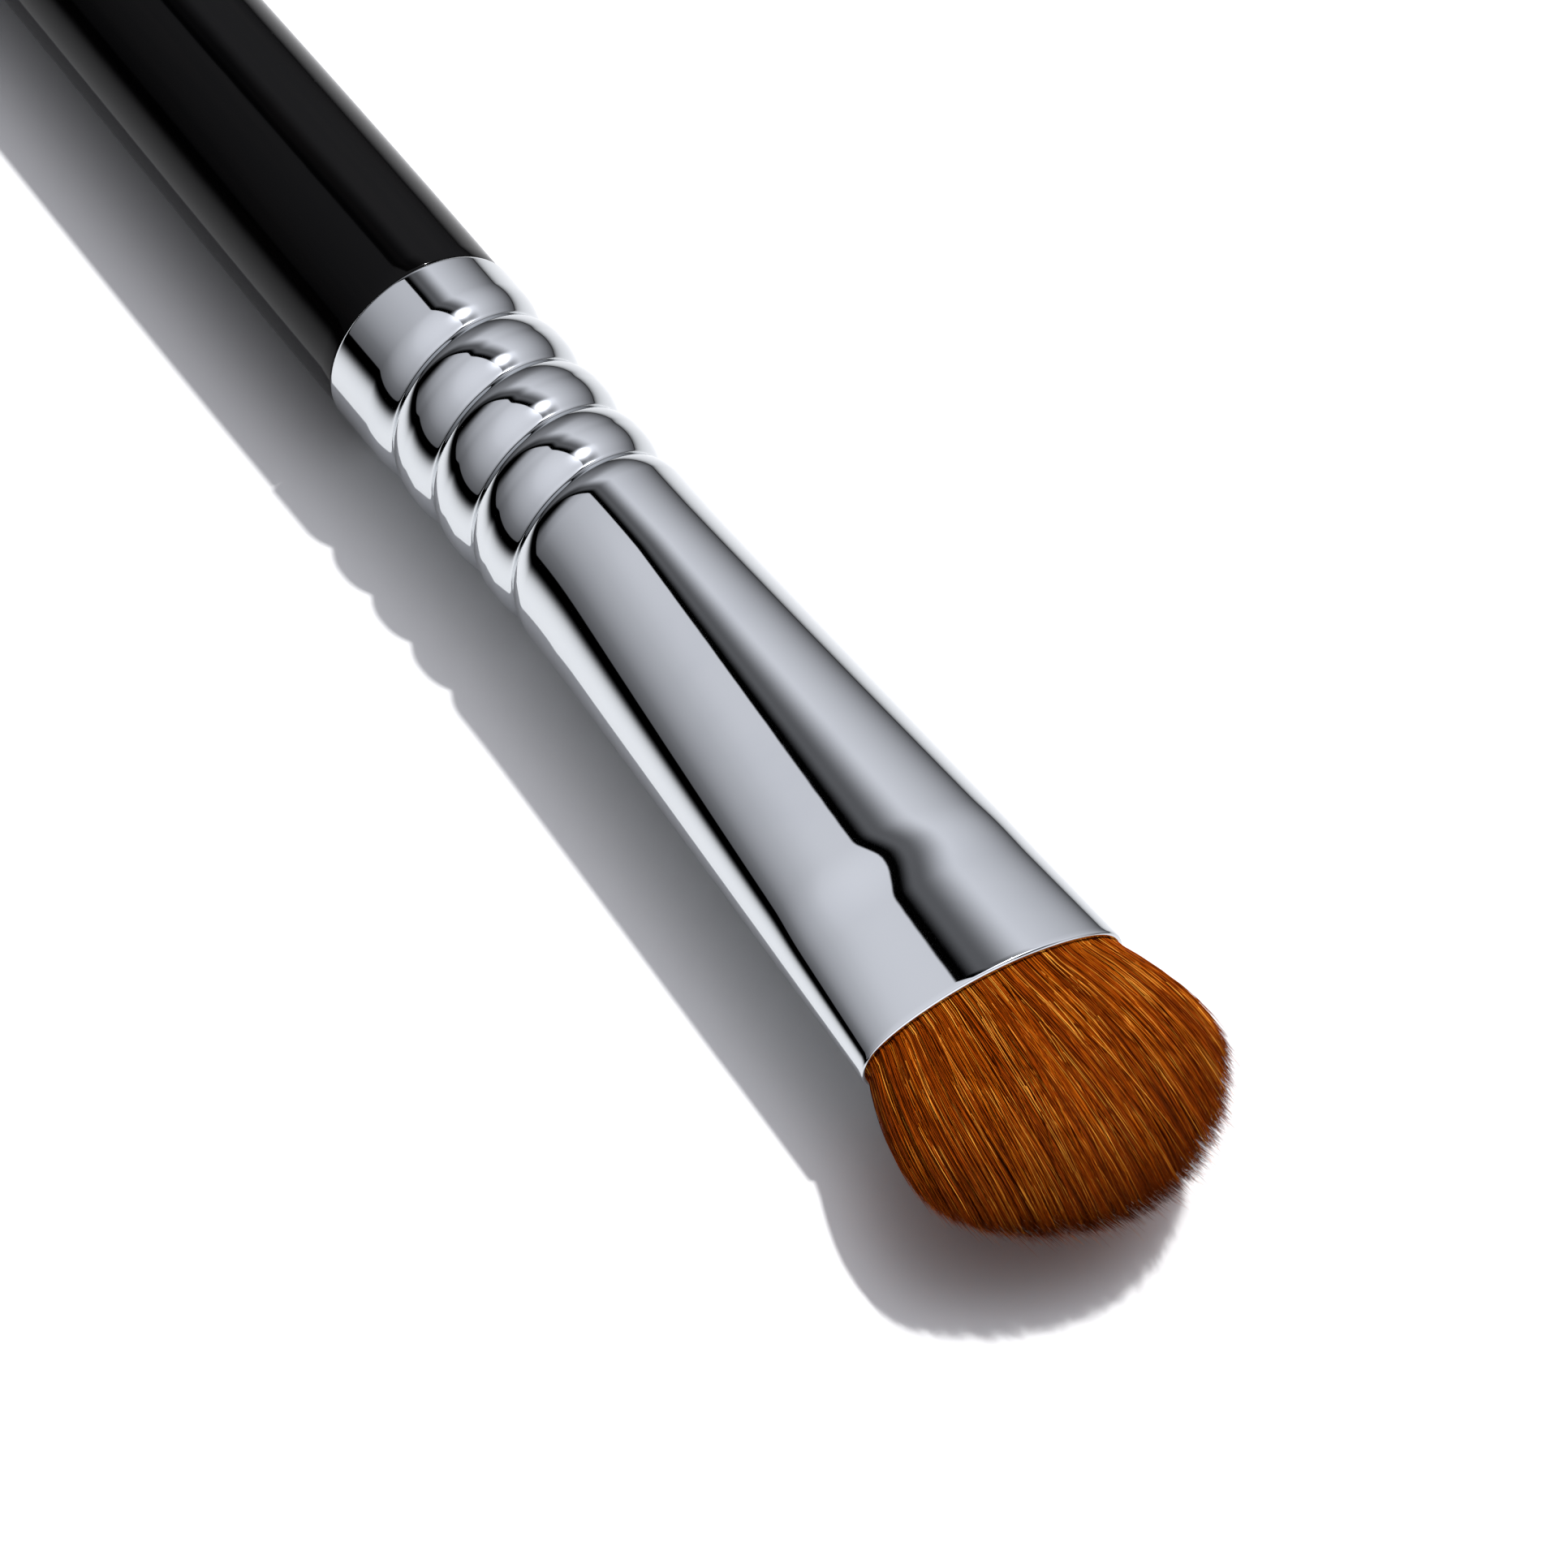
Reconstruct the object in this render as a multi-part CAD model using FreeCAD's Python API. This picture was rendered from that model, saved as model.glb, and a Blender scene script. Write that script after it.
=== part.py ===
import FreeCAD, Part
import math
import os

# Flat eyeshadow brush lying on its belly: tuft towards +X, wide faces up and down.
# Lengths in millimetres, angles in degrees, axial places counted from the ferrule's rear rim.

# Ferrule tube, drawn round and then pressed flat at the mouth
ferrule_radius = 4.2
ferrule_length = 40.1
wall = 0.28
rear_chamfer = 0.12
barrel_end = 16.0
barrel_blend = 2.4
ramp_end = 33.2
ramp_thickness = 6.13
ramp_blend = 1.0
shoulder_end = 34.8
shoulder_thickness = 5.59
shoulder_blend = 1.2
mouth_thickness = 4.7
face_half_angle = 30.6
flats_per_arc = 8

# Helical crimp that locks the ferrule on the handle
crimp_pitch = 2.73
crimp_turns = 3.9
crimp_start = 1.2
crimp_start_angle = -82.8
crimp_half_width = 0.95
crimp_depth = 0.26
crimp_root_width = 0.16
crimp_edge_angle = 7.0

# Handle, turned and tapered to the tail
handle_step = 0.08
handle_length = 120.6
belly_length = 14.0
tail_radius = 2.6
tenon_length = 13.6
tenon_chamfer = 0.4

# Tuft, measured beyond the mouth, and its root inside the ferrule
tuft_length = 11.3
fan_half_width = 9.0
fan_half_thickness = 3.6
tip_radius = 4.7
tip_edge_radius = 0.62
tuft_corner_power = 8
root_start = 25.0
binding_start = 27.0
binding_length = 3.0
thread_diameter = 0.35
glue_start = 19.0

# Clearances and the overrun of cutting tools
seat_gap = 0.03
hair_gap = 0.12
overrun = 0.6

# Shares of the tuft's length where its sections stand
tuft_station_shares = [0.34, 0.58, 0.75, 0.88, 0.95, 0.98]
mid_share = 0.5

CENTRE = FreeCAD.Vector(0, 0, 0)
X_AXIS = FreeCAD.Vector(1, 0, 0)
Z_AXIS = FreeCAD.Vector(0, 0, 1)
half_turn = 180
face_angle = math.radians(face_half_angle)


def parabolic_ramp(past, blend):
    # Height of a line of slope one that starts at zero, its corner rounded over the blend
    if past <= -blend / 2:
        return 0
    if past >= blend / 2:
        return past
    return (past + blend / 2) ** 2 / (2 * blend)


ramp_slope = (ramp_thickness / 2 - ferrule_radius) / (ramp_end - barrel_end)
shoulder_slope = (shoulder_thickness - ramp_thickness) / 2 / (shoulder_end - ramp_end)
collar_slope = (mouth_thickness - shoulder_thickness) / 2 / (ferrule_length - shoulder_end)
bends = [(barrel_end, ramp_slope, barrel_blend),
         (ramp_end, shoulder_slope - ramp_slope, ramp_blend),
         (shoulder_end, collar_slope - shoulder_slope, shoulder_blend)]


def half_thickness(x):
    return ferrule_radius + sum(change * parabolic_ramp(x - place, blend) for place, change, blend in bends)


# A pressed tube keeps its girth, so its half width follows from its half thickness
centre_factor = 1 / (math.sin(face_angle) + math.cos(face_angle) - 1)
end_factor = (1 - math.cos(face_angle)) * centre_factor
girth_factor = 2 * centre_factor * face_angle / math.pi - end_factor


def half_width(x):
    thin = half_thickness(x)
    return thin + (ferrule_radius - thin) / girth_factor


def four_centre_oval(x, wide, thin):
    # Two flat arcs and two end arcs, tangent where they meet on the lines of centres
    spread = (wide - thin) * centre_factor
    end_radius = thin - (wide - thin) * end_factor
    face_radius = end_radius + spread
    join_y = face_radius * math.sin(face_angle)
    join_z = face_radius * math.cos(face_angle) - (face_radius - thin)
    corners = [FreeCAD.Vector(x, y, z) for y, z in
               ((join_y, -join_z), (join_y, join_z), (-join_y, join_z), (-join_y, -join_z))]
    crowns = [FreeCAD.Vector(x, y, z) for y, z in ((wide, 0), (0, thin), (-wide, 0), (0, -thin))]
    arcs = [Part.Arc(corners[i], crowns[i], corners[(i + 1) % len(corners)]).toShape()
            for i in range(len(corners))]
    return Part.Wire(arcs)


def planed_oval(x, wide, thin):
    # The same oval cut into flats, for the hollow that the hair hides
    points = []
    for arc in four_centre_oval(x, wide, thin).Edges:
        points += arc.discretize(flats_per_arc + 1)[:-1]
    return Part.makePolygon(points + points[:1])


def tube_section(x):
    return four_centre_oval(x, half_width(x), half_thickness(x))


def straight_plug(outline, length):
    return Part.Face(outline).extrude(X_AXIS * length)


# Pressed part of the tube, ruled from bend to bend
plain_end = barrel_end - barrel_blend / 2
bend_places = [place + side * blend / 2 for place, change, blend in bends for side in (-1, 1)]
pressed = Part.makeLoft([tube_section(x) for x in bend_places + [ferrule_length]], True, True)


def cavity_size(x):
    # Half width and half thickness of the hollow that tapers from the resin to the mouth
    share = (x - glue_start) / (ferrule_length - glue_start)
    return [size(glue_start) * (1 - share) + size(ferrule_length) * share - wall
            for size in (half_width, half_thickness)]


# Groove section in the axial plane: convex flanks down to a narrow root
edge_lean = math.radians(crimp_edge_angle)
flank_width = crimp_half_width - crimp_root_width / 2
flank_radius = ((flank_width ** 2 + crimp_depth ** 2) / 2
                / (crimp_depth * math.cos(edge_lean) - flank_width * math.sin(edge_lean)))
root_lean = math.asin(flank_width / flank_radius + math.sin(edge_lean))


def flank_point(radius, lean, side):
    along = crimp_half_width + flank_radius * (math.sin(edge_lean) - math.sin(lean))
    return FreeCAD.Vector(radius + flank_radius * (math.cos(lean) - math.cos(edge_lean)), 0, side * along)


def flank(radius, side):
    leans = [edge_lean, edge_lean + (root_lean - edge_lean) * mid_share, root_lean]
    return Part.makePolygon([flank_point(radius, lean, side) for lean in leans]).Edges


def crimp_cutter(radius):
    # The groove swept along its helix, with a dished run-out at each end
    edges = [flank_point(radius, edge_lean, side) for side in (1, -1)]
    roots = [flank_point(radius, root_lean, side) for side in (1, -1)]
    tops = [point + X_AXIS * overrun for point in edges]
    outline = flank(radius, 1) + [Part.makeLine(roots[0], roots[1])] + flank(radius, -1)[::-1]
    profile = Part.Wire(outline + [Part.makeLine(edges[1], tops[1]), Part.makeLine(tops[1], tops[0]),
                                   Part.makeLine(tops[0], edges[0])])
    rise = crimp_pitch * crimp_turns
    helix = Part.makeLongHelix(crimp_pitch, rise, radius)
    sweep = Part.Wire(helix.Edges).makePipeShell([profile], True, True)
    low, high = (roots[0] + roots[1]) / 2, (tops[0] + tops[1]) / 2
    outline = flank(radius, 1) + [Part.makeLine(roots[0], low), Part.makeLine(low, high)]
    half = Part.Face(Part.Wire(outline + [Part.makeLine(high, tops[0]), Part.makeLine(tops[0], edges[0])]))
    first = half.revolve(CENTRE, X_AXIS, half_turn)
    last = half.revolve(CENTRE, X_AXIS, -half_turn)
    last.rotate(CENTRE, Z_AXIS, 2 * half_turn * crimp_turns)
    last.translate(Z_AXIS * rise)
    angle = math.radians(crimp_start_angle)
    out = FreeCAD.Vector(0, math.cos(angle), math.sin(angle))
    turn = FreeCAD.Rotation(out, X_AXIS.cross(out), X_AXIS, "ZXY")
    place = FreeCAD.Placement(X_AXIS * crimp_start, turn)
    tools = [sweep, first, last]
    for tool in tools:
        tool.Placement = place.multiply(tool.Placement)
    return tools


def rim(shape, x, radius):
    # Edges of a full round end face at one axial place
    return [edge for edge in shape.Edges
            if max(abs(edge.BoundBox.XMin - x), abs(edge.BoundBox.XMax - x)) < seat_gap
            and edge.BoundBox.YLength > radius]


# Ferrule: round barrel with the crimp rolled into it, pressed part, bore for the tenon, hollow for the hair
outside = Part.makeCylinder(ferrule_radius, plain_end, CENTRE, X_AXIS)
for tool in crimp_cutter(ferrule_radius):
    outside = outside.cut(tool)
outside = outside.makeChamfer(rear_chamfer, rim(outside, 0, ferrule_radius))
bore_radius = ferrule_radius - wall - crimp_depth
bore = Part.makeCylinder(bore_radius, glue_start + overrun, X_AXIS * -overrun, X_AXIS)
hollow = Part.makeLoft([planed_oval(x, *cavity_size(x)) for x in (glue_start, ferrule_length)], True, True)
ferrule = outside.fuse(pressed).cut(bore).cut(hollow)

# Handle: long taper with a round tail, and a tenon that the crimp grips
handle_radius = ferrule_radius - handle_step
tail_centre = -(handle_length - tail_radius)


def profile_point(x, r):
    return FreeCAD.Vector(x, 0, r)


shoulder = profile_point(-seat_gap, handle_radius)
taper_length = -seat_gap - tail_centre - belly_length
belly_radius = belly_length * (taper_length + belly_length / 2) / (handle_radius - tail_radius)
belly_lean = belly_length / belly_radius
belly_points = [profile_point(-seat_gap - belly_radius * math.sin(lean),
                              handle_radius - belly_radius * (1 - math.cos(lean)))
                for lean in (0, belly_lean * mid_share, belly_lean)]
flanks = Part.makePolygon(belly_points + [profile_point(tail_centre, tail_radius)]).Edges
tail_mid = tail_radius * math.sin(math.pi / 4)
tail = Part.Arc(profile_point(tail_centre, tail_radius), profile_point(tail_centre - tail_mid, tail_mid),
                profile_point(-handle_length, 0)).toShape()
axis_line = Part.makeLine(profile_point(-handle_length, 0), profile_point(-seat_gap, 0))
back_line = Part.makeLine(profile_point(-seat_gap, 0), shoulder)
body = Part.Face(Part.Wire(flanks + [tail, axis_line, back_line]))
body = body.revolve(CENTRE, X_AXIS, 2 * half_turn)
tenon_radius = bore_radius - seat_gap
tenon = Part.makeCylinder(tenon_radius, tenon_length + seat_gap, X_AXIS * -seat_gap, X_AXIS)
tenon = tenon.makeChamfer(tenon_chamfer, rim(tenon, tenon_length, tenon_radius))
handle = body.fuse(tenon).removeSplitter()

# Hair: straight tied root in the ferrule, fanned head with a domed edge
mouth_wide, mouth_thin = [size - hair_gap for size in cavity_size(ferrule_length)]
root_wide = cavity_size(root_start)[0] - hair_gap - thread_diameter
root_thin = mouth_thin - thread_diameter
root = straight_plug(four_centre_oval(root_start, root_wide, root_thin), ferrule_length - root_start)


def domed(start_size, fan_size, tip_curve, share):
    # Fan line rounded off into a parabola of the given tip radius
    fan = start_size + (fan_size - start_size) * share
    dome = math.sqrt(2 * tip_curve * tuft_length * (1 - share))
    return (fan ** -tuft_corner_power + dome ** -tuft_corner_power) ** (-1 / tuft_corner_power)


sections = [four_centre_oval(ferrule_length, mouth_wide, mouth_thin)]
for share in tuft_station_shares:
    wide = domed(mouth_wide, fan_half_width, tip_radius, share)
    thin = domed(mouth_thin, fan_half_thickness, tip_edge_radius, share)
    sections.append(four_centre_oval(ferrule_length + tuft_length * share, wide, thin))
head = Part.makeLoft(sections, True, True)
hair = root.fuse(head)

# Thread binding round the root, and the resin that locks the root in the ferrule
binding_inside, binding = [straight_plug(four_centre_oval(binding_start, root_wide + out, root_thin + out),
                                         binding_length) for out in (seat_gap, thread_diameter)]
binding = binding.cut(binding_inside)
resin_wide = cavity_size(glue_start)[0] - seat_gap
resin_thin = cavity_size(root_start)[1] - seat_gap
resin = straight_plug(planed_oval(glue_start, resin_wide, resin_thin), root_start - seat_gap - glue_start)

# Stand the brush on its lowest side, half way between tail and tip
pieces = {"handle": handle, "ferrule": ferrule, "hair_tuft": hair,
          "knot_binding": binding, "resin_plug": resin}
tip = ferrule_length + tuft_length * tuft_station_shares[-1]
shift = FreeCAD.Vector((handle_length - tip) / 2, 0, ferrule_radius)
os.makedirs("parts", exist_ok=True)
for name, shape in pieces.items():
    shape = shape.Solids[0]
    shape.translate(shift)
    shape.exportStep("parts/" + name + ".step")
    print(name, len(shape.Faces), "faces", round(shape.Volume, 2), "mm3, sound:", shape.isValid())
print("rear rim stands at", round(shift.x, 4), "and the axis at height", round(shift.z, 4))
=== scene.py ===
import math
import bpy
import numpy as np
from mathutils import Matrix, Vector


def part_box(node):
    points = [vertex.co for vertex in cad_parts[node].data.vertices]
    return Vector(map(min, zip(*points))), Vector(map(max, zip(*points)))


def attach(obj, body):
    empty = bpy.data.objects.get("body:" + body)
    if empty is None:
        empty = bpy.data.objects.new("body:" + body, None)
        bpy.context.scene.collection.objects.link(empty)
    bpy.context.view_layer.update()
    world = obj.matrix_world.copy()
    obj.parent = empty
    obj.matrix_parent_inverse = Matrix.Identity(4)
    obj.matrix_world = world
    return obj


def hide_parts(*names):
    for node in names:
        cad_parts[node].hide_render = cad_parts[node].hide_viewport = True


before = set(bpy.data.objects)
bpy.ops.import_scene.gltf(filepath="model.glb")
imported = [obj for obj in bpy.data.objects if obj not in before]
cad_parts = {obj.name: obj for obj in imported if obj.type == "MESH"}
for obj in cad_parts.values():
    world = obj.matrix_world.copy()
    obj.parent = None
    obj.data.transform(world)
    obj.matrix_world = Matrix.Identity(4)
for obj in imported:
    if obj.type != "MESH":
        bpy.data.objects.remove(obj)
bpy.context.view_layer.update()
mm = 0.001

scene = bpy.context.scene
scene.view_settings.view_transform = "Standard"

# everything below is laid out in millimetres from the ferrule's rear rim, on the brush's axis
tubeLow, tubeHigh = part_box("ferrule")
rimPlace = Vector((tubeLow.x, 0, (tubeLow.z + tubeHigh.z) / 2))
mouthX = (tubeHigh.x - tubeLow.x) / mm
tailX = (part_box("handle")[0].x - tubeLow.x) / mm
tipX = (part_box("hair_tuft")[1].x - tubeLow.x) / mm
print("frame loaded, mouth at", round(mouthX, 2), "tail at", round(tailX, 2), "tip at", round(tipX, 2))


class Wire:                       # an output socket that takes part in Python sums
    def __init__(self, paint, socket):
        self.paint = paint
        self.socket = socket

    def out(self, name):          # another output of the same node
        return Wire(self.paint, self.socket.node.outputs[name])

    def math(self, operation, *others):
        return self.paint.add("ShaderNodeMath", {"operation": operation}, dict(enumerate((self,) + others)))

    def flipped(self, operation, other):
        return self.paint.add("ShaderNodeMath", {"operation": operation}, {0: other, 1: self})

    def __add__(self, other):
        return self.math("ADD", other)

    def __radd__(self, other):
        return self.flipped("ADD", other)

    def __sub__(self, other):
        return self.math("SUBTRACT", other)

    def __rsub__(self, other):
        return self.flipped("SUBTRACT", other)

    def __mul__(self, other):
        return self.math("MULTIPLY", other)

    def __rmul__(self, other):
        return self.flipped("MULTIPLY", other)

    def __truediv__(self, other):
        return self.math("DIVIDE", other)

    def __rtruediv__(self, other):
        return self.flipped("DIVIDE", other)

    def __pow__(self, other):
        return self.math("POWER", other)


class Paint:                      # the node tree of one finish
    def __init__(self, tree):
        self.tree = tree
        tree.nodes.clear()

    def add(self, kind, settings={}, sockets={}, out=0):
        node = self.tree.nodes.new(kind)
        for name, value in settings.items():
            if name == "stops":
                ramp = node.color_ramp.elements
                while len(ramp) < len(value):
                    ramp.new(1)
                for stop, (place, colour) in zip(ramp, value):
                    stop.position = place
                    stop.color = tuple(colour) + (1,)
            else:
                setattr(node, name, value)
        for name, value in sockets.items():
            if isinstance(value, Wire):
                self.tree.links.new(value.socket, node.inputs[name])
            else:
                node.inputs[name].default_value = value
        return Wire(self, node.outputs[out]) if len(node.outputs) else node

    def blend(self, share, first, second):        # colours only
        return self.add("ShaderNodeMix", {"data_type": "RGBA"}, {0: share, 6: first, 7: second}, 2)

    def step(self, value, low, high, start=0, end=1):
        return self.add("ShaderNodeMapRange", {"interpolation_type": "SMOOTHSTEP"},
                        {0: value, 1: low, 2: high, 3: start, 4: end})


def newFinish(name):
    material = bpy.data.materials.new(name)
    material.use_nodes = True
    return material, Paint(material.node_tree)


def newPiece(name, points, faces, finish, stoodFor):
    # points in mm from the rear rim, faces all with the same number of corners
    mesh = bpy.data.meshes.new(name)
    place = np.asarray(points, float) * mm + np.array(rimPlace)
    mesh.vertices.add(len(place))
    mesh.vertices.foreach_set("co", place.ravel())
    faces = np.asarray(faces, np.int32)
    mesh.loops.add(faces.size)
    mesh.loops.foreach_set("vertex_index", faces.ravel())
    mesh.polygons.add(len(faces))
    mesh.polygons.foreach_set("loop_start", np.arange(0, faces.size, faces.shape[1], dtype=np.int32))
    mesh.polygons.foreach_set("use_smooth", np.ones(len(faces), bool))
    mesh.update(calc_edges=True)
    mesh.materials.append(finish)
    piece = bpy.data.objects.new(name, mesh)
    scene.collection.objects.link(piece)
    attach(piece, "root")
    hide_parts(stoodFor)
    return piece


def ringFaces(rows, around):
    # quads between neighbouring rings of a tube
    row, col = np.meshgrid(np.arange(rows - 1), np.arange(around), indexing="ij")
    after = (col + 1) % around
    low, high = row * around, (row + 1) * around
    return np.stack([low + col, low + after, high + after, high + col], -1).reshape(-1, 4)


# Ferrule: a drawn tube, pressed flat towards the mouth and crimped on the handle
ferrule = dict(radius=4.2, wall=0.28, rearInset=0.24, rearEdge=0.12, rimEdge=0.13, edgeRows=5,
               insideFrom=0.3, inside=7.0, insideRows=8,
               barrelEnd=14.9, rampEnd=33.2, rampThickness=6.13, shoulderEnd=34.8, shoulderThickness=5.59,
               mouthThickness=4.7, blends=(4.0, 1.0, 1.2), faceAngle=30.6, jawAngle=25.0,
               pitch=2.89, turns=3.9, crimpStart=1.99, startAngle=-82.8, runOut=16.0, plainFrom=14.8,
               grooveReach=(0, 0.04, 0.1, 0.19, 0.51, 0.8, 1.0, 1.25, 1.32),
               grooveLean=(0, 15, 26, 27, 18, 11.5, 7, 1.8, 0),
               around=216, crimpRow=0.06, pressedRow=0.2, sectionSteps=1440, grooveSteps=600)


def pressFactors(degrees):
    # an oval of two wide and two tight arcs: what its centres, tight ends and girth gain as it is pressed
    angle = math.radians(degrees)
    centre = 1 / (math.sin(angle) + math.cos(angle) - 1)
    end = (1 - math.cos(angle)) * centre
    return angle, centre, end, 2 * centre * angle / math.pi - end


girthFactor = pressFactors(ferrule["faceAngle"])[-1]
jawAngle, jawCentre, jawEnd, jawGirth = pressFactors(ferrule["jawAngle"])


def bendHeight(past, blend):      # a line of slope one that starts at zero, its corner rounded
    if past <= -blend / 2:
        return 0
    if past >= blend / 2:
        return past
    return (past + blend / 2) ** 2 / (2 * blend)


def halfThickness(x):
    f = ferrule
    rampSlope = (f["rampThickness"] / 2 - f["radius"]) / (f["rampEnd"] - f["barrelEnd"])
    shoulderSlope = (f["shoulderThickness"] - f["rampThickness"]) / 2 / (f["shoulderEnd"] - f["rampEnd"])
    collarSlope = (f["mouthThickness"] - f["shoulderThickness"]) / 2 / (mouthX - f["shoulderEnd"])
    return (f["radius"] + rampSlope * bendHeight(x - f["barrelEnd"], f["blends"][0])
            + (shoulderSlope - rampSlope) * bendHeight(x - f["rampEnd"], f["blends"][1])
            + (collarSlope - shoulderSlope) * bendHeight(x - f["shoulderEnd"], f["blends"][2]))


def halfWidth(x):
    # the girth stays the same while the tube is pressed, and the sides run straight
    f = ferrule
    slope = (f["mouthThickness"] / 2 - f["radius"]) / (mouthX - f["barrelEnd"])
    even = f["radius"] + slope * bendHeight(x - f["barrelEnd"], f["blends"][0])
    return even + (f["radius"] - even) / girthFactor


def runningSum(values, step):
    return np.concatenate([[0], np.cumsum((values[1:] + values[:-1]) / 2 * step)])


turnFine = np.linspace(0, 2 * math.pi, ferrule["sectionSteps"] + 1)


def tubeSection(x, around):
    # pressed round: the curvature runs smoothly from the flat faces to the tight ends
    thin, wide = halfThickness(x), halfWidth(x)
    turn = np.arange(around) * 2 * math.pi / around
    if wide - thin < 1e-6:        # still round
        return wide * np.cos(turn), wide * np.sin(turn)
    endRadius = thin - (wide - thin) * jawEnd
    girth = thin + (wide - thin) * jawGirth
    flat = girth / (endRadius + (wide - thin) * jawCentre)
    share = (1 - 2 * jawAngle / math.pi) * endRadius / girth
    peak = (np.cos(turnFine) ** 2) ** (1 / (math.pi * share ** 2) - 0.25)
    bend = flat + (1 - flat) * peak / np.mean(peak[:-1])
    lean = runningSum(bend, turnFine[1])
    y = runningSum(-np.sin(lean), turnFine[1])
    z = runningSum(np.cos(lean), turnFine[1])
    y -= (y.max() + y.min()) / 2
    z -= (z.max() + z.min()) / 2
    return np.interp(turn, turnFine, y * wide / y.max()), np.interp(turn, turnFine, z * thin / z.max())


grooveOut = np.linspace(0, ferrule["pitch"] / 2, ferrule["grooveSteps"])
grooveSlope = np.tan(np.radians(np.interp(grooveOut, ferrule["grooveReach"], ferrule["grooveLean"])))
grooveRise = runningSum(grooveSlope, grooveOut[1])


def crimpDepth(x, degrees):
    # how far the rolled groove sinks the tube's skin at one place
    f = ferrule
    depth = np.zeros(len(degrees))
    for turn in range(-1, int(f["turns"]) + 2):
        along = (degrees - f["startAngle"]) % 360 + 360 * turn
        fade = np.clip((along + f["runOut"]) / (2 * f["runOut"]), 0, 1)
        fade = fade * np.clip((f["turns"] * 360 + f["runOut"] - along) / (2 * f["runOut"]), 0, 1)
        away = np.abs(x - f["crimpStart"] - f["pitch"] * along / 360)
        sink = grooveRise[-1] - np.interp(away, grooveOut, grooveRise)
        depth = np.maximum(depth, fade * fade * (3 - 2 * fade) * sink)
    return depth


def tubeRow(x, inset=0):
    around = ferrule["around"]
    y, z = tubeSection(min(x, mouthX), around)
    if x < ferrule["plainFrom"]:
        across = up = 1 - (crimpDepth(x, np.arange(around) * 360 / around) + inset) / ferrule["radius"]
    else:
        across, up = 1 - inset / halfWidth(x), 1 - inset / halfThickness(x)
    return np.stack([np.full(around, x), y * across, z * up], -1)


def makeFerrule(finish):
    f = ferrule
    edge, rim = f["rearEdge"], f["rimEdge"]
    quarter = [math.pi / 2 * i / (f["edgeRows"] - 1) for i in range(f["edgeRows"])]
    corner = [(1 - math.cos(a), 1 - math.sin(a)) for a in quarter]
    crimped = np.arange(edge + f["crimpRow"], f["plainFrom"], f["crimpRow"])
    pressed = np.arange(f["plainFrom"], mouthX - rim - f["pressedRow"] / 2, f["pressedRow"])
    rows = [tubeRow(0, f["rearInset"])]
    rows += [tubeRow(edge * back, edge * down) for back, down in corner]
    rows += [tubeRow(x) for x in list(crimped) + list(pressed)]
    rows += [tubeRow(mouthX - rim * back, rim * down) for down, back in corner]
    rows += [tubeRow(mouthX - rim * back, f["wall"] - rim * down) for back, down in corner]
    inside = np.linspace(f["insideFrom"], f["inside"], f["insideRows"])
    rows += [tubeRow(mouthX - rim - deep, f["wall"]) for deep in inside]
    rows = np.array(rows)
    newPiece("ferrule_tube", rows.reshape(-1, 3), ringFaces(len(rows), f["around"]), finish,
             "ferrule")


def brightMetal():
    material, p = newFinish("mirror_plating")
    place = p.add("ShaderNodeTexCoord", {}, {}, "Object")
    smear = p.add("ShaderNodeTexNoise", {}, {"Vector": place, "Scale": 260, "Detail": 3})
    fine = p.add("ShaderNodeTexNoise", {}, {"Vector": place, "Scale": 2600, "Detail": 2})
    rough = 0.028 + p.step(smear, 0.5, 0.75) * 0.018 + p.step(fine, 0.62, 0.8) * 0.02
    ripple = p.add("ShaderNodeTexNoise", {}, {"Vector": place, "Scale": 900, "Detail": 1})
    bump = p.add("ShaderNodeBump", {}, {"Strength": 0.003, "Distance": 0.0004, "Height": ripple})
    tint = p.blend(p.step(smear, 0.45, 0.8), (0.70, 0.725, 0.745, 1), (0.675, 0.70, 0.725, 1))
    shine = p.add("ShaderNodeBsdfPrincipled", {}, {"Base Color": tint, "Metallic": 1, "Roughness": rough,
                                                   "Normal": bump})
    p.add("ShaderNodeOutputMaterial", {}, {"Surface": shine})
    return material


makeFerrule(brightMetal())
print("ferrule rolled and pressed")


# Handle: one turned stick under gloss lacquer, with its tenon inside the ferrule
handle = dict(radius=4.12, gap=0.03, edge=0.1, bellyLength=14.0, tailRadius=2.6,
              tenonRadius=3.63, tenonLength=13.6, tenonEdge=0.4, endHole=0.01,
              around=144, tailRows=20, taperRows=60, bellyRows=24, edgeRows=5)


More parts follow.
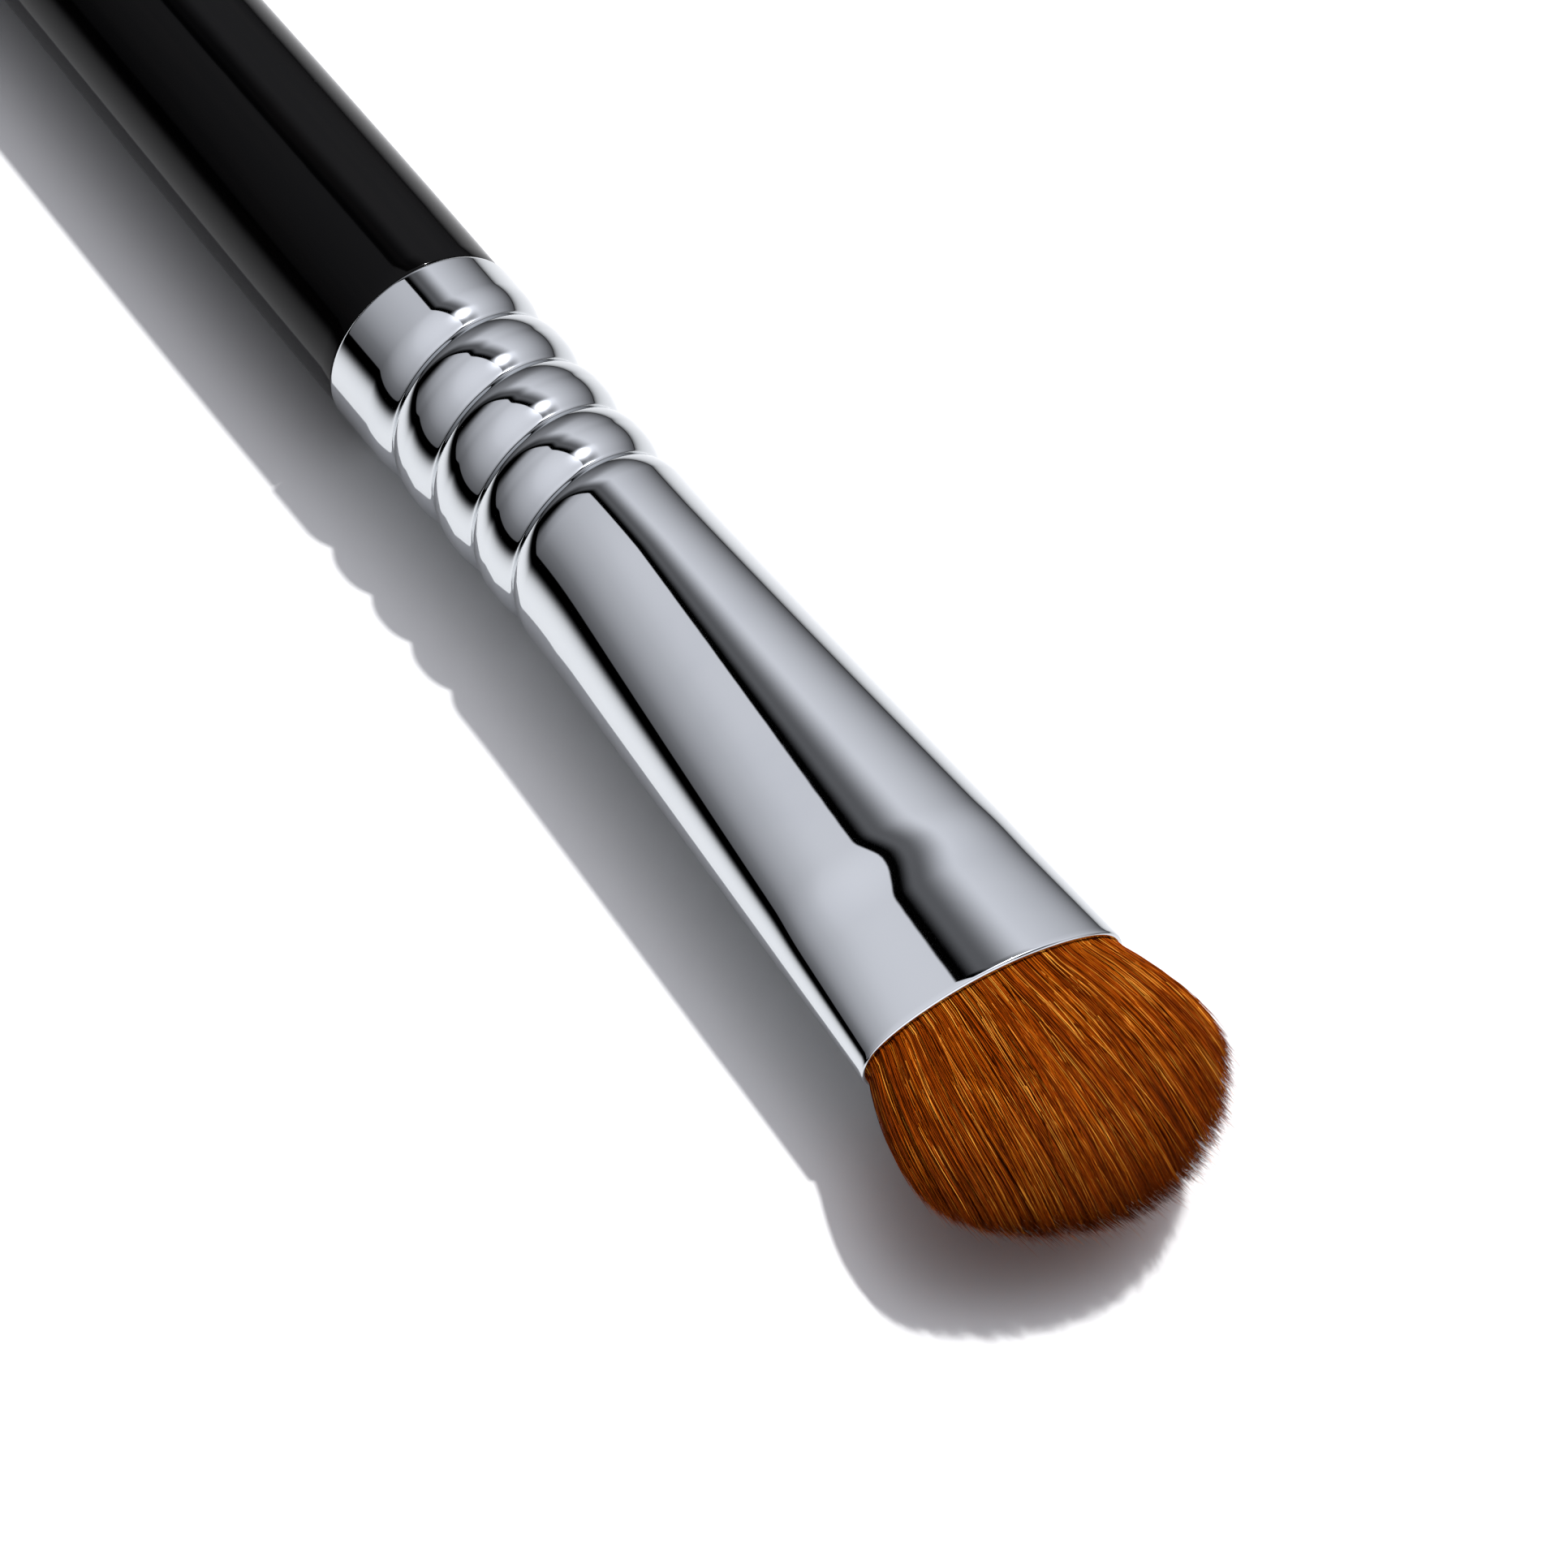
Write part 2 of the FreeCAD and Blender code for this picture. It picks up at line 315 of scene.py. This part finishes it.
def makeHandle(finish):
    h = handle
    tail, tenon, around = h["tailRadius"], h["tenonRadius"], h["around"]
    tailCentre = tailX + tail
    taper = -h["gap"] - tailCentre - h["bellyLength"]
    bellyRadius = h["bellyLength"] * (taper + h["bellyLength"] / 2) / (h["radius"] - tail)
    bellyStart = -h["gap"] - h["bellyLength"]
    bellyLow = h["radius"] - bellyRadius * (1 - math.cos(h["bellyLength"] / bellyRadius))
    profile = [(tailCentre - tail * math.cos(a), tail * math.sin(a))
               for a in np.linspace(0.001, math.pi / 2, h["tailRows"])]
    for share in np.linspace(0, 1, h["taperRows"])[1:]:
        profile.append((tailCentre + (bellyStart - tailCentre) * share, tail + (bellyLow - tail) * share))
    for back in np.linspace(h["bellyLength"], h["edge"], h["bellyRows"])[1:]:
        profile.append((-h["gap"] - back, h["radius"] - back * back / (2 * bellyRadius)))
    for a in np.linspace(0, math.pi / 2, h["edgeRows"])[1:]:          # softened shoulder edge
        profile.append((-h["gap"] - h["edge"] * (1 - math.sin(a)),
                        h["radius"] - h["edge"] * (1 - math.cos(a))))
    profile += [(-h["gap"], tenon), (h["tenonLength"] - h["tenonEdge"], tenon),
                (h["tenonLength"], tenon - h["tenonEdge"]), (h["tenonLength"], h["endHole"])]
    turn = np.arange(around) * 2 * math.pi / around
    rows = np.array([np.stack([np.full(around, x), r * np.cos(turn), r * np.sin(turn)], -1)
                     for x, r in profile])
    newPiece("handle_stick", rows.reshape(-1, 3), ringFaces(len(rows), around), finish,
             "handle")


def blackLacquer():
    material, p = newFinish("gloss_lacquer")
    place = p.add("ShaderNodeTexCoord", {}, {}, "Object")
    grain = p.add("ShaderNodeMapping", {}, {"Vector": place, "Scale": (0.04, 1, 1)})
    fibre = p.add("ShaderNodeTexNoise", {}, {"Vector": grain, "Scale": 2200, "Detail": 4})
    peel = p.add("ShaderNodeTexNoise", {}, {"Vector": place, "Scale": 700, "Detail": 1})
    dust = p.add("ShaderNodeTexNoise", {}, {"Vector": place, "Scale": 3200, "Detail": 2})
    colour = p.blend(p.step(fibre, 0.4, 0.7), (0.0005, 0.0005, 0.0006, 1), (0.0013, 0.0011, 0.0011, 1))
    rough = 0.07 + p.step(dust, 0.66, 0.8) * 0.1 + p.step(peel, 0.3, 0.8) * 0.02
    bump = p.add("ShaderNodeBump", {}, {"Strength": 0.008, "Distance": 0.0005, "Height": peel})
    shine = p.add("ShaderNodeBsdfPrincipled", {}, {"Base Color": colour, "Roughness": rough, "IOR": 1.22,
                                                   "Normal": bump})
    p.add("ShaderNodeOutputMaterial", {}, {"Surface": shine})
    return material


makeHandle(blackLacquer())
print("handle turned and lacquered")


# Hair: a core painted dark as the shade deep in the bundle, with thousands of tapered hairs round it, fanned
# from the mouth to a domed edge
hair = dict(seed=41, rootIn=3.0, mouthGap=0.33, fanWidth=6.9, fanBy=0.62, thickness=2.42,
            lean=-0.45, leanPower=1.2, shoulder=0.4, tilt=0.08, crown=0.975, domePower=0.57,
            tipShare=0.2, tipPower=2.4, tipCurve=0.72,
            points=10, pointPower=0.85, shortest=0.12, leastRun=0.1,
            thick=0.05, girths=(0.7, 1.2), taperFrom=0.4, taperPower=0.8, tipGirth=0.08,
            pull=0.45, pullPower=1.5, waveRates=(2, 6), waveUp=0.6, waveBy=3)


def fanAt(along):
    # half width and half thickness of the bundle before its tips are rounded off
    startWide = halfWidth(mouthX) - hair["mouthGap"]
    startThin = halfThickness(mouthX) - hair["mouthGap"]
    spread = 1 - (1 - np.clip(along / hair["fanBy"], 0, 1)) ** 2
    wide = np.where(along > 0, startWide + (hair["fanWidth"] - startWide) * spread, startWide)
    thin = np.where(along > 0, startThin + (hair["thickness"] - startThin) * spread, startThin)
    return wide, thin


def domeAt(side):
    # share of the length at which the bundle ends, by the place across it
    across = np.clip(np.abs(side), 0, 1)
    shoulder = hair["shoulder"] - hair["tilt"] * np.clip(side, -1, 1)          # one corner is fuller
    return shoulder + (hair["crown"] - shoulder) * np.sqrt(1 - across ** (1 / hair["domePower"]))


def closing(share):
    # the bundle thins from both faces towards its tips
    left = 1 - np.clip(share, 0, 1) ** hair["tipPower"]
    return hair["tipShare"] + (1 - hair["tipShare"]) * left ** hair["tipCurve"]


def growHairs(name, side, level, finish, drift, wave, thick, tones, middle=None, start=None, cut=(0.2, 0.12),
              spread=(-0.012, 0.02)):
    # cut: the share of hairs that end early, and by how much; spread: middle and scatter of the others' ends
    count, points = len(side), hair["points"]
    length = tipX - mouthX
    dome = domeAt(side)
    ends = dome + rng.normal(*spread, count) - (rng.random(count) < cut[0]) * rng.random(count) * cut[1]
    ends = np.maximum(ends, hair["shortest"])
    share = np.linspace(0, 1, points) ** hair["pointPower"]
    if start is None:
        rootShare = -hair["rootIn"] / length
    else:
        rootShare = np.minimum(start, ends - hair["leastRun"])[:, None]
    along = rootShare + (ends[:, None] - rootShare) * share[None, :]
    wide, thin = fanAt(along)
    grown = np.clip(along, 0, None)
    sideways = side[:, None] + drift[:, None] * grown
    if middle is not None:                                  # hairs of a clump draw together at the tip
        sideways = sideways + (middle - side)[:, None] * hair["pull"] * grown ** hair["pullPower"]
    y = sideways * wide + hair["lean"] * grown ** hair["leanPower"]
    z = level[:, None] * thin * closing(grown / dome[:, None])
    phase = rng.random((2, count, 1)) * 2 * math.pi
    rate = rng.uniform(*hair["waveRates"], (2, count, 1))
    free = np.clip(grown * hair["waveBy"], 0, 1)
    y = y + wave * np.sin(rate[0] * along + phase[0]) * free
    z = z + wave * hair["waveUp"] * np.sin(rate[1] * along + phase[1]) * free
    path = np.stack([mouthX + along * length, y, z], -1)
    # three-sided tubes with a fine tip
    tangent = np.gradient(path, axis=1)
    tangent /= np.linalg.norm(tangent, axis=2, keepdims=True)
    first = np.cross(tangent, [0.0, 0.0, 1.0])
    first /= np.linalg.norm(first, axis=2, keepdims=True)
    second = np.cross(tangent, first)
    girth = thick * rng.uniform(*hair["girths"], (count, 1)) / 2
    taper = np.clip((1 - share) / hair["taperFrom"], 0, 1) ** hair["taperPower"]
    radius = (girth * (taper * (1 - hair["tipGirth"]) + hair["tipGirth"])[None, :])[..., None]
    corners = []
    for corner in range(3):
        angle = 2 * math.pi * corner / 3 + phase[0]
        corners.append(path + radius * (np.cos(angle)[..., None] * first + np.sin(angle)[..., None] * second))
    rings = np.stack(corners, 2)                            # hair, point, corner, xyz
    faces = ringFaces(points, 3)
    allFaces = (faces[None] + (np.arange(count) * points * 3)[:, None, None]).reshape(-1, 4)
    piece = newPiece(name, rings.reshape(-1, 3), allFaces, finish, "hair_tuft")
    tone = piece.data.attributes.new("tone", "FLOAT", "POINT")
    tone.data.foreach_set("value", np.repeat(np.clip(tones, 0, 1), points * 3).astype(np.float32))
    reach = piece.data.attributes.new("reach", "FLOAT", "POINT")
    reach.data.foreach_set("value", np.repeat(np.clip(along, 0, 1).ravel(), 3).astype(np.float32))


core = dict(size=0.88, around=72, fanTo=0.5, fanRows=14, domeFrom=0.53, domeTo=0.88, domeRows=18,
            underDome=0.07, underTips=0.08, sideSteps=400, endSize=0.02, endStep=0.05)


def makeCore(finish):
    c = core
    rows = []
    turn = np.arange(c["around"]) * 2 * math.pi / c["around"]
    length = tipX - mouthX
    side = np.linspace(0, 1, c["sideSteps"])
    fan = np.linspace(-hair["rootIn"] / length, c["fanTo"], c["fanRows"])
    head = np.linspace(c["domeFrom"], c["domeTo"], c["domeRows"])
    for along in list(fan) + list(head):
        wide, thin = fanAt(np.array(along))
        widest = side[np.argmax(np.where(domeAt(side) >= along + c["underDome"], side, -1))]
        lean = hair["lean"] * max(along, 0) ** hair["leanPower"]
        y = float(wide) * c["size"] * widest * np.cos(turn) + lean
        z = float(thin * closing(along + c["underTips"])) * c["size"] * np.sin(turn)
        rows.append(np.stack([np.full(c["around"], mouthX + along * length), y, z], -1))
    rows.append(rows[-1] * [1, c["endSize"], c["endSize"]] + [c["endStep"], 0, 0])
    rows = np.array(rows)
    newPiece("hair_core", rows.reshape(-1, 3), ringFaces(len(rows), c["around"]), finish,
             "hair_tuft")


def hairFinish():
    material, p = newFinish("brown_hair")
    tone = p.add("ShaderNodeAttribute", {"attribute_name": "tone"}, {}, "Fac")
    reach = p.add("ShaderNodeAttribute", {"attribute_name": "reach"}, {}, "Fac")
    place = p.add("ShaderNodeTexCoord", {}, {}, "Object")
    patch = p.add("ShaderNodeTexNoise", {}, {"Vector": place, "Scale": 450, "Detail": 2})
    stops = [(0, (0.035, 0.005, 0.0004)), (0.3, (0.165, 0.026, 0.0008)), (0.7, (0.31, 0.05, 0.0011)),
             (0.88, (0.47, 0.117, 0.004)), (1, (0.83, 0.35, 0.045))]
    mottled = tone + p.step(patch, 0.3, 0.7) * 0.12 - 0.06
    shade = p.add("ShaderNodeValToRGB", {"stops": stops}, {"Fac": mottled})
    paintedTipShade = p.step(reach, 0.5, 1.0) * p.step(tone, 0.75, 0.3) * 0.3       # painted shade: dark hairs drawn darker towards their tips, where the ends lie in shade
    colour = p.blend(paintedTipShade, shade, (0.07, 0.013, 0.0012, 1))
    rough = 0.36 + tone * 0.14
    shine = p.add("ShaderNodeBsdfPrincipled", {}, {"Base Color": colour, "Roughness": rough, "IOR": 1.45,
                                                   "Specular IOR Level": 0.02})
    p.add("ShaderNodeOutputMaterial", {}, {"Surface": shine})
    return material


def coreFinish():
    material, p = newFinish("painted_shade_core")
    place = p.add("ShaderNodeTexCoord", {}, {}, "Object")
    drawn = p.add("ShaderNodeMapping", {}, {"Vector": place, "Scale": (0.03, 1, 1)})
    strand = p.add("ShaderNodeTexNoise", {}, {"Vector": drawn, "Scale": 9000, "Detail": 2})
    # painted shade: the core's dark brown stands for the shade in the gaps deep among the hairs
    stops = [(0.35, (0.05, 0.012, 0.002)), (0.7, (0.17, 0.042, 0.005))]
    colour = p.add("ShaderNodeValToRGB", {"stops": stops}, {"Fac": strand})
    bump = p.add("ShaderNodeBump", {}, {"Strength": 0.6, "Distance": 0.00005, "Height": strand})
    shine = p.add("ShaderNodeBsdfPrincipled", {}, {"Base Color": colour, "Roughness": 0.7, "Normal": bump,
                                                   "Specular IOR Level": 0.1})
    p.add("ShaderNodeOutputMaterial", {}, {"Surface": shine})
    return material


def bundlePlaces(turn, low, high):
    # places in the bundle's section: a share of the way out from low to high, at each turn round it
    out = np.sqrt(rng.uniform(low ** 2, high ** 2, len(turn)))
    return out * np.cos(turn), out * np.sin(turn)


rng = np.random.default_rng(hair["seed"])
brown = hairFinish()
makeCore(coreFinish())

# the inner hairs take only the darker tones: painted shade deep in the bundle
inner = dict(count=3600, places=(0.0, 0.93), drift=0.03, wave=0.05, tones=(0, 0.45))
turn = rng.random(inner["count"]) * 2 * math.pi
side, level = bundlePlaces(turn, *inner["places"])
growHairs("hair_inner", side, level, brown, rng.normal(0, inner["drift"], len(turn)), inner["wave"],
          hair["thick"], rng.uniform(*inner["tones"], len(turn)))

# the outer hairs lie in clumps, each with its own tone, lift and line
outer = dict(count=7200, clumps=420, places=(0.91, 1.0), lift=0.012, clumpDrift=0.02, drift=0.02, wave=0.05,
             clumpTones=(0.2, 0.7), toneCurve=1.3, cut=(0.5, 0.32))
clumps = outer["clumps"]
cuts = np.sort(rng.random(clumps)) * 2 * math.pi
turn = rng.random(outer["count"]) * 2 * math.pi
clump = np.searchsorted(cuts, turn) % clumps
side, level = bundlePlaces(turn, *outer["places"])
lift = rng.normal(0, outer["lift"], clumps)[clump]
side, level = side * (1 + lift), level * (1 + lift)
members = np.maximum(np.bincount(clump, minlength=clumps), 1)
middle = (np.bincount(clump, side, clumps) / members)[clump]
drift = rng.normal(0, outer["clumpDrift"], clumps)[clump] + rng.normal(0, outer["drift"], len(turn))
clumpTones = rng.uniform(*outer["clumpTones"], clumps)[clump]
tones = (clumpTones + rng.uniform(0, 1, len(turn)) ** outer["toneCurve"]) / 2
for name, half in (("hair_upper", level >= 0), ("hair_lower", level < 0)):
    growHairs(name, side[half], level[half], brown, drift[half], outer["wave"], hair["thick"], tones[half],
              middle[half], cut=outer["cut"])

# thin light hairs lie loose on the faces, the ones at the sides kept from straying outwards
loose = dict(count=1000, places=(0.985, 1.015), drift=0.1, mostDrift=0.22, wave=0.09, thick=0.7,
             tones=(0.6, 1), spread=(0.01, 0.03))
turn = rng.random(loose["count"]) * 2 * math.pi
side, level = bundlePlaces(turn, *loose["places"])
drift = np.clip(rng.normal(0, loose["drift"], len(turn)), -loose["mostDrift"], loose["mostDrift"])
drift = np.where(side * drift > 0, drift * (1 - np.abs(side)), drift)
growHairs("hair_loose", side, level, brown, drift, loose["wave"], hair["thick"] * loose["thick"],
          rng.uniform(*loose["tones"], len(turn)), spread=loose["spread"])

# shorter hairs end all over the outer half, light tips over dark gaps
short = dict(count=3600, places=(0.97, 1.012), drift=0.11, wave=0.06, thick=0.8, tones=(0.35, 1),
             starts=(0.1, 0.5), cut=(1, 0.45))
turn = rng.random(short["count"]) * 2 * math.pi
side, level = bundlePlaces(turn, *short["places"])
drift = rng.normal(0, short["drift"], len(turn)) * (1 - np.abs(side))
growHairs("hair_short", side, level, brown, drift, short["wave"], hair["thick"] * short["thick"],
          rng.uniform(*short["tones"], len(turn)), start=rng.uniform(*short["starts"], len(turn)),
          cut=short["cut"])
print("hair grown")


# Hidden binding and resin keep their solids
def boundThread():
    material, p = newFinish("waxed_thread")
    place = p.add("ShaderNodeTexCoord", {}, {}, "Object")
    turns = p.add("ShaderNodeTexWave", {"bands_direction": "X"},
                  {"Vector": place, "Scale": 900, "Distortion": 0.6})
    colour = p.blend(turns, (0.42, 0.36, 0.26, 1), (0.75, 0.7, 0.6, 1))
    bump = p.add("ShaderNodeBump", {}, {"Strength": 0.7, "Distance": 0.0002, "Height": turns})
    shine = p.add("ShaderNodeBsdfPrincipled", {}, {"Base Color": colour, "Roughness": 0.6, "Normal": bump})
    p.add("ShaderNodeOutputMaterial", {}, {"Surface": shine})
    return material


def curedResin():
    material, p = newFinish("cured_resin")
    place = p.add("ShaderNodeTexCoord", {}, {}, "Object")
    cloud = p.add("ShaderNodeTexNoise", {}, {"Vector": place, "Scale": 400, "Detail": 4})
    colour = p.blend(p.step(cloud, 0.35, 0.7), (0.5, 0.38, 0.16, 1), (0.75, 0.64, 0.38, 1))
    rough = 0.18 + cloud * 0.2
    shine = p.add("ShaderNodeBsdfPrincipled", {}, {"Base Color": colour, "Roughness": rough})
    p.add("ShaderNodeOutputMaterial", {}, {"Surface": shine})
    return material


for node, finish in (("knot_binding", boundThread()), ("resin_plug", curedResin())):
    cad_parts[node].data.materials.clear()
    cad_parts[node].data.materials.append(finish)


# Studio: white floor, an overhead softbox, a bright wall behind and one small key light
studio = dict(keyWay=(-0.04, 0.4706, 0.8814), keyAim=0.025, keyAway=0.9, keySize=0.036, keyPower=7.4,
              fill=0.42, glow=(10.0, 0.0035), bloom=(1.8, 0.016), haze=(2.6, 0.09), bloomFrom=(-0.24, -0.12),
              slant=(1.13, 0.462), lowest=0.02, edge=0.41, edgeBlur=0.012,
              softboxEnd=(-0.88, -0.73), wallPastEnd=0.5,
              softbox=((0.125, 0.0), (0.14, 0.115), (0.25, 0.165), (0.34, 0.215), (0.46, 0.33), (0.62, 0.475),
                       (0.74, 0.575), (0.82, 0.67), (0.88, 0.77), (1.0, 0.9)),
              wallRise=((0.48, 0.62, 0.13), (0.66, 1.16, 0.87)), wallTone=(0.09, 1.03), horizon=(-0.01, 0.01),
              aheadFrom=(0.62, 0.72), aheadUp=(0.02, 0.1))
ground = dict(tone=0.92, half=3, drop=0.00003, litReach=0.06, litFall=1.4, nearReach=0.032, nearFall=2.0,
              shade=0.9)


def studioFloor():
    material, p = newFinish("white_floor")
    place = p.add("ShaderNodeTexCoord", {}, {}, "Object")
    parts = p.add("ShaderNodeSeparateXYZ", {}, {0: place})
    # in the chrome the white floor fades away from the brush, sooner on the near side
    y = parts.out("Y")
    near = y.math("LESS_THAN", 0)
    away = y.math("ABSOLUTE") / (ground["litReach"] - near * ground["nearReach"])
    lit = 1 / (1 + away ** (ground["litFall"] + near * ground["nearFall"]))
    mirrored = p.add("ShaderNodeLightPath").out("Is Glossy Ray")
    matt = p.add("ShaderNodeBsdfDiffuse", {}, {"Color": (ground["tone"],) * 3 + (1,)})
    dark = p.add("ShaderNodeEmission", {}, {"Color": (0, 0, 0, 1), "Strength": 0})
    both = p.add("ShaderNodeMixShader", {}, {0: mirrored * (1 - lit * ground["shade"]), 1: matt, 2: dark})
    p.add("ShaderNodeOutputMaterial", {}, {"Surface": both})
    half = ground["half"]
    mesh = bpy.data.meshes.new("studio_floor")
    corners = [(-half, -half, 0), (half, -half, 0), (half, half, 0), (-half, half, 0)]
    mesh.from_pydata(corners, [], [(0, 1, 2, 3)])
    mesh.materials.append(material)
    floor = bpy.data.objects.new("studio_floor", mesh)
    floor.location.z = -ground["drop"]
    scene.collection.objects.link(floor)


def studioWorld():
    st = studio
    world = bpy.data.worlds.new("studio")
    scene.world = world
    world.use_nodes = True
    p = Paint(world.node_tree)
    way = p.add("ShaderNodeTexCoord", {}, {}, "Generated")
    parts = p.add("ShaderNodeSeparateXYZ", {}, {0: way})
    x, y, z = parts.out("X"), parts.out("Y"), parts.out("Z")
    path = p.add("ShaderNodeLightPath")
    seen, mirrored = path.out("Is Camera Ray"), path.out("Is Glossy Ray")

    # the overhead softbox ends along a slanted edge, and the wall grows brighter behind a dark gap
    behind = (y * st["slant"][0] - x * st["slant"][1]) / z.math("MAXIMUM", st["lowest"])
    overhead = p.step(behind, st["edge"] - st["edgeBlur"], st["edge"] + st["edgeBlur"], 1, 0)
    stops = [(height, (tone,) * 3) for height, tone in st["softbox"]]
    softbox = overhead * p.add("ShaderNodeValToRGB", {"stops": stops}, {"Fac": z})
    rise = sum(p.step(behind, low, high) * gain for low, high, gain in st["wallRise"])
    wall = (1 - overhead) * (st["wallTone"][0] + z * st["wallTone"][1]) * rise * p.step(z, *st["horizon"])

    # round the key light: a small glow and a bloom for the chrome, a wide haze for the rest
    key = Vector(st["keyWay"]).normalized()
    toKey = p.add("ShaderNodeVectorMath", {"operation": "DOT_PRODUCT"}, {0: way, 1: key}, 1)
    glow, bloom, haze = [((toKey - 1) / width).math("EXPONENT") * height
                         for height, width in (st["glow"], st["bloom"], st["haze"])]
    bloom = bloom * p.step(x, *st["bloomFrom"])

    # the chrome also shows a panel ahead of the tuft and the softbox's end past the handle
    ahead = p.step(x, *st["aheadFrom"]) * p.step(z, *st["aheadUp"])
    reached = p.step(x, *st["softboxEnd"])
    shown = softbox * reached + wall * (st["wallPastEnd"] + reached * (1 - st["wallPastEnd"]))
    plain = (softbox + wall) * st["fill"] + haze
    level = mirrored * (shown + glow + bloom + ahead) + (1 - mirrored) * plain
    strength = seen + (1 - seen) * level
    tint = p.blend(seen, (0.985, 0.99, 1.06, 1), (1, 1, 1, 1))
    back = p.add("ShaderNodeBackground", {}, {"Color": tint, "Strength": strength})
    p.add("ShaderNodeOutputWorld", {}, {"Surface": back})


def keyLight():
    lamp = bpy.data.lights.new("key", "AREA")
    lamp.shape = "DISK"
    lamp.size = studio["keySize"]
    lamp.energy = studio["keyPower"]
    light = bpy.data.objects.new("key", lamp)
    way = Vector(studio["keyWay"]).normalized()
    light.location = rimPlace + Vector((studio["keyAim"], 0, 0)) + way * studio["keyAway"]
    light.rotation_mode = "QUATERNION"
    light.rotation_quaternion = way.to_track_quat("Z", "Y")
    scene.collection.objects.link(light)


studioFloor()
studioWorld()
keyLight()


# Camera at the photograph's place
view = dict(place=(261.03, -151.452, 320.712), right=(0.54106, 0.84098, 0.0004),
            up=(-0.63486, 0.40812, 0.65604), back=(0.55154, -0.35523, 0.75473),
            lens=260.87, sensor=36, clip=(0.01, 20))
lens = bpy.data.cameras.new("camera")
lens.lens = view["lens"]
lens.sensor_width = view["sensor"]
lens.clip_start, lens.clip_end = view["clip"]
camera = bpy.data.objects.new("camera", lens)
turned = Matrix((view["right"], view["up"], view["back"])).transposed().to_4x4()
camera.matrix_world = Matrix.Translation(rimPlace + Vector(view["place"]) * mm) @ turned
scene.collection.objects.link(camera)
scene.camera = camera
print("studio lit, camera set")
